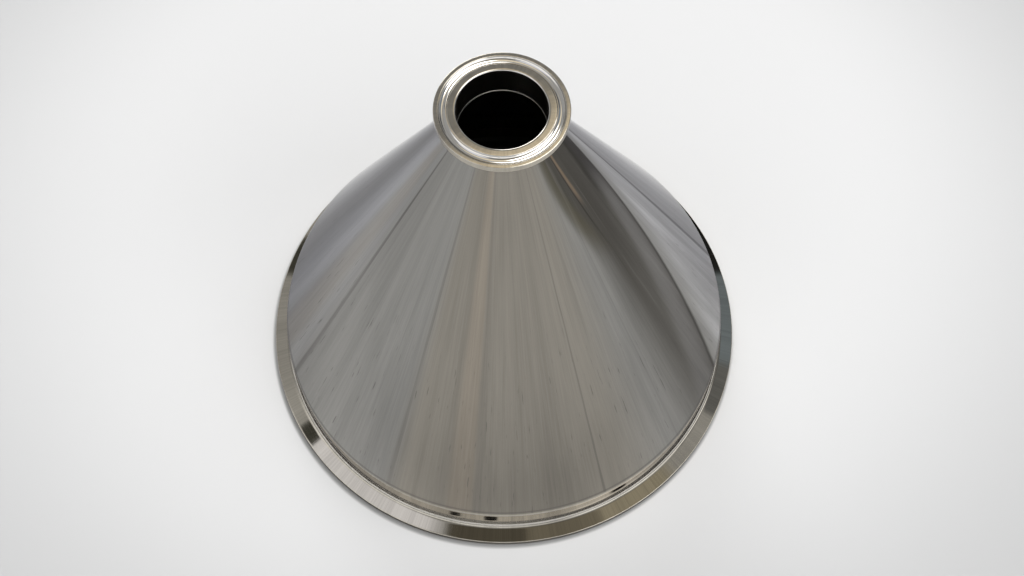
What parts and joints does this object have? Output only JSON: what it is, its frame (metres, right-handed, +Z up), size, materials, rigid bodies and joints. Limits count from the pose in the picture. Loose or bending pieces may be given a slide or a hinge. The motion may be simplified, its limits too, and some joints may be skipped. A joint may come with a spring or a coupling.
{
  "type": "concentric pipe reducer",
  "caption": "Hollow cone-shaped pipe reducer that joins a wide sanitary tube to a narrow one on the same axis, with a grooved clamp ferrule on each end.",
  "frame": {"origin": "centre of the wide ferrule's face, which the reducer stands on", "axes": "+Z up the reducer's axis, from the wide ferrule to the narrow one"},
  "size_m": [0.2178, 0.2178, 0.1841],
  "materials": {
    "polished_steel": "mirror-polished bare stainless steel, not plated"
  },
  "bodies": {
    "root": {"reducer_body": "polished_steel"}
  },
  "joints": []
}
